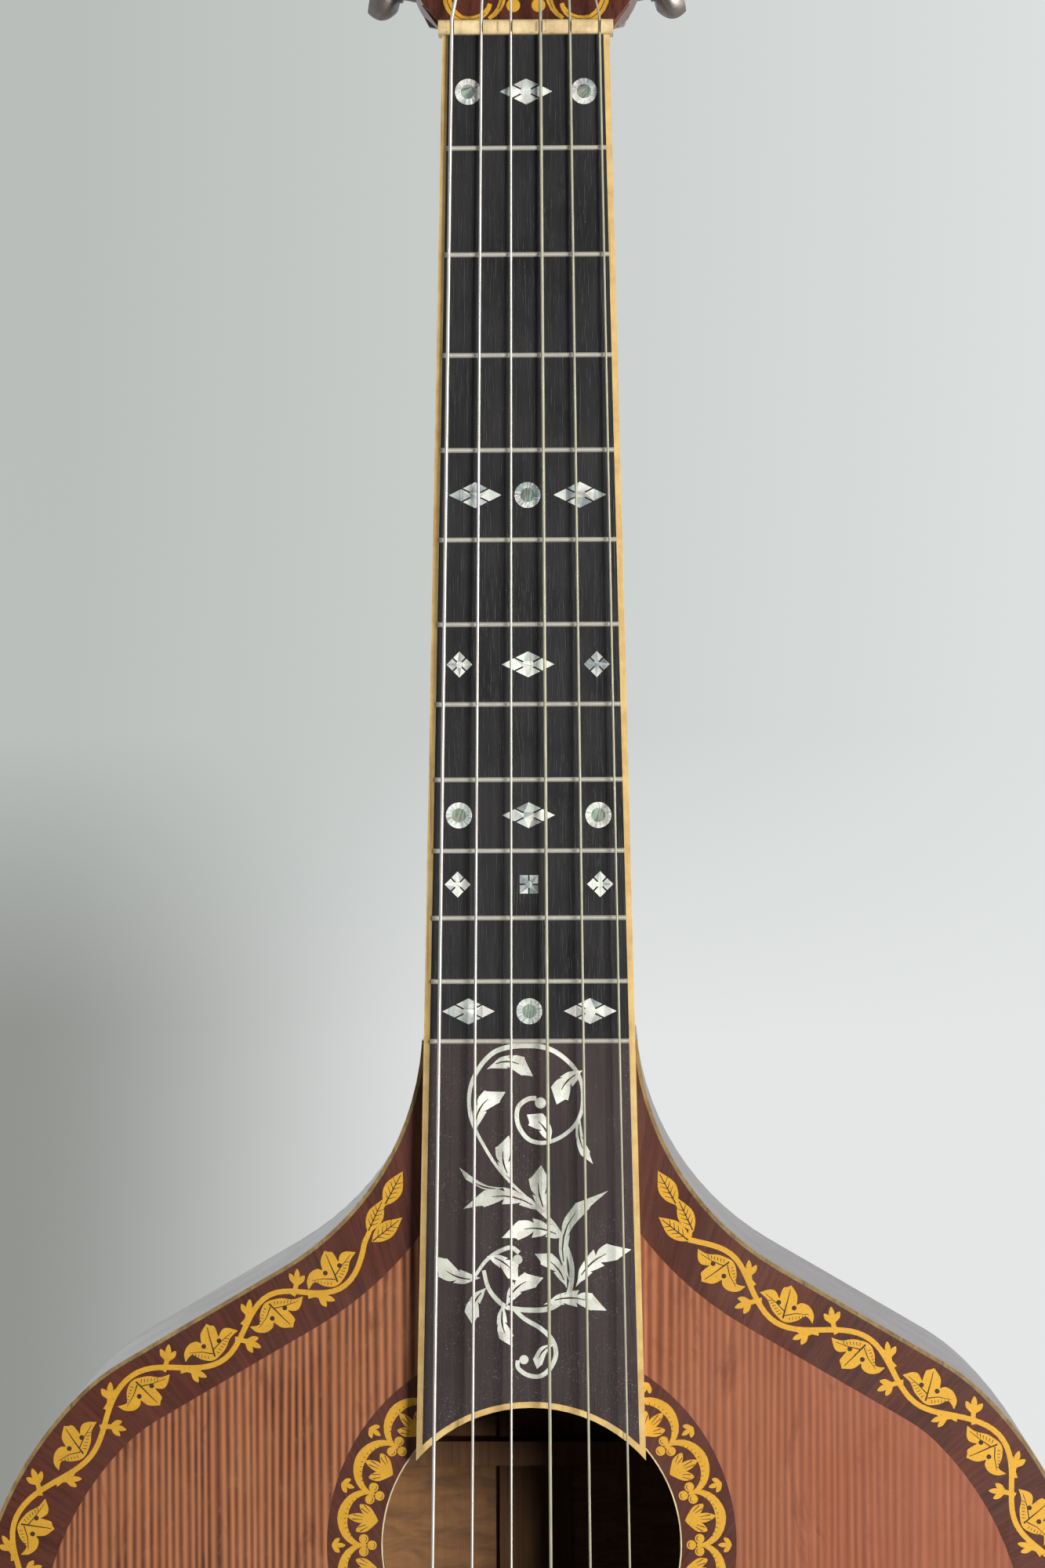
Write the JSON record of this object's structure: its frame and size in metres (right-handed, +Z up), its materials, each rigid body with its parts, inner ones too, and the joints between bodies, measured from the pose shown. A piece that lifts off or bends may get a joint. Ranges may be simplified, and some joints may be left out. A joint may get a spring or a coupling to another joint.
{
  "type": "pear-shaped lute-guitar",
  "caption": "Pear-shaped, flat-backed plucked instrument with single strings, bound ebony fretboard, vine-decorated rosewood border and geared tuners.",
  "frame": {"origin": "on the centre line, in the neck's glue face, at the playing edge of the nut", "axes": "+Z up the neck from the body to the head, -Y out of the instrument's face, +X to the right of someone facing it"},
  "size_m": [0.3674, 0.1051, 0.8983],
  "materials": {
    "spruce_top": "french polish, amber and red-brown, heavy straight grain",
    "rosewood": "polished dark brown rosewood",
    "mahogany": "satin varnish, red-brown",
    "spruce_inside": "bare planed spruce",
    "maple_stripe": "polished light wood",
    "ebony": "worn satin black",
    "celluloid": "aged cream-yellow celluloid, polished",
    "amber_celluloid": "aged pressed celluloid, polished",
    "pearl": "polished mother-of-pearl",
    "shell": "polished abalone shell",
    "bone": "polished yellowed bone",
    "nickel_silver": "worn polished nickel silver",
    "nickel_plate": "dulled nickel plate",
    "steel": "tarnished steel screws",
    "silver_wound": "silver-plated winding",
    "gut": "translucent gut"
  },
  "bodies": {
    "root": {"back": "rosewood", "back_binding": "celluloid", "back_braces": "spruce_inside", "back_centre_strip": "spruce_inside", "back_stripe": "maple_stripe", "bridge": "ebony", "bridge_pins": "bone", "bridge_plate": "maple_stripe", "end_pin": "ebony", "fretboard": "ebony", "fretboard_binding": "celluloid", "fretboard_extension": "rosewood", "frets": "nickel_silver", "head_veneer": "rosewood", "heel_cap": "ebony", "linings": "spruce_inside", "neck": "mahogany", "neck_block": "mahogany", "nut": "bone", "pearl_lozenges": "pearl", "pearl_rings": "pearl", "plate_screws": "steel", "post_bushings": "bone", "rib_left": "rosewood", "rib_right": "rosewood", "rosette_ring": "rosewood", "rosewood_border": "rosewood", "saddle": "bone", "shell_dots": "shell", "soundboard": "spruce_top", "string_1": "gut", "string_2": "gut", "string_3": "gut", "string_4": "silver_wound", "string_5": "silver_wound", "string_6": "silver_wound", "tail_block": "mahogany", "top_binding": "celluloid", "top_braces": "spruce_inside", "tuner_plate_left": "nickel_plate", "tuner_plate_right": "nickel_plate", "vine_inlay": "pearl"},
    "button_right_1": {"tuner_button_right_1": "amber_celluloid"},
    "post_right_1": {"string_post_right_1": "nickel_plate"},
    "button_right_2": {"tuner_button_right_2": "amber_celluloid"},
    "post_right_2": {"string_post_right_2": "nickel_plate"},
    "button_right_3": {"tuner_button_right_3": "amber_celluloid"},
    "post_right_3": {"string_post_right_3": "nickel_plate"},
    "button_left_1": {"tuner_button_left_1": "amber_celluloid"},
    "post_left_1": {"string_post_left_1": "nickel_plate"},
    "button_left_2": {"tuner_button_left_2": "amber_celluloid"},
    "post_left_2": {"string_post_left_2": "nickel_plate"},
    "button_left_3": {"tuner_button_left_3": "amber_celluloid"},
    "post_left_3": {"string_post_left_3": "nickel_plate"}
  },
  "joints": [
    {"name": "turn_button_right_1", "type": "hinge", "parent": "root", "child": "button_right_1", "pos_m": [0.02571, 0.01985, 0.01407], "axis": [0.9778, 0.0292, 0.2076], "continuous": true},
    {"name": "turn_post_right_1", "type": "hinge", "parent": "root", "child": "post_right_1", "pos_m": [0.024, 0.02095, 0.02195], "axis": [0, -0.9903, 0.1392], "continuous": true},
    {"name": "turn_button_right_2", "type": "hinge", "parent": "root", "child": "button_right_2", "pos_m": [0.01837, 0.02461, 0.04796], "axis": [0.9778, 0.0292, 0.2076], "continuous": true},
    {"name": "turn_post_right_2", "type": "hinge", "parent": "root", "child": "post_right_2", "pos_m": [0.01666, 0.02572, 0.05584], "axis": [0, -0.9903, 0.1392], "continuous": true},
    {"name": "turn_button_right_3", "type": "hinge", "parent": "root", "child": "button_right_3", "pos_m": [0.01103, 0.02937, 0.08185], "axis": [0.9778, 0.0292, 0.2076], "continuous": true},
    {"name": "turn_post_right_3", "type": "hinge", "parent": "root", "child": "post_right_3", "pos_m": [0.00933, 0.03048, 0.08973], "axis": [0, -0.9903, 0.1392], "continuous": true},
    {"name": "turn_button_left_1", "type": "hinge", "parent": "root", "child": "button_left_1", "pos_m": [-0.02571, 0.01985, 0.01407], "axis": [-0.9778, 0.0292, 0.2076], "continuous": true},
    {"name": "turn_post_left_1", "type": "hinge", "parent": "root", "child": "post_left_1", "pos_m": [-0.024, 0.02095, 0.02195], "axis": [0, -0.9903, 0.1392], "continuous": true},
    {"name": "turn_button_left_2", "type": "hinge", "parent": "root", "child": "button_left_2", "pos_m": [-0.01837, 0.02461, 0.04796], "axis": [-0.9778, 0.0292, 0.2076], "continuous": true},
    {"name": "turn_post_left_2", "type": "hinge", "parent": "root", "child": "post_left_2", "pos_m": [-0.01666, 0.02572, 0.05584], "axis": [0, -0.9903, 0.1392], "continuous": true},
    {"name": "turn_button_left_3", "type": "hinge", "parent": "root", "child": "button_left_3", "pos_m": [-0.01103, 0.02937, 0.08185], "axis": [-0.9778, 0.0292, 0.2076], "continuous": true},
    {"name": "turn_post_left_3", "type": "hinge", "parent": "root", "child": "post_left_3", "pos_m": [-0.00933, 0.03048, 0.08973], "axis": [0, -0.9903, 0.1392], "continuous": true}
  ],
  "couplings": [
    {"joint": "turn_post_right_1", "follows": "turn_button_right_1", "ratio": -0.071429},
    {"joint": "turn_post_right_2", "follows": "turn_button_right_2", "ratio": -0.071429},
    {"joint": "turn_post_right_3", "follows": "turn_button_right_3", "ratio": -0.071429},
    {"joint": "turn_post_left_1", "follows": "turn_button_left_1", "ratio": -0.071429},
    {"joint": "turn_post_left_2", "follows": "turn_button_left_2", "ratio": -0.071429},
    {"joint": "turn_post_left_3", "follows": "turn_button_left_3", "ratio": -0.071429}
  ]
}
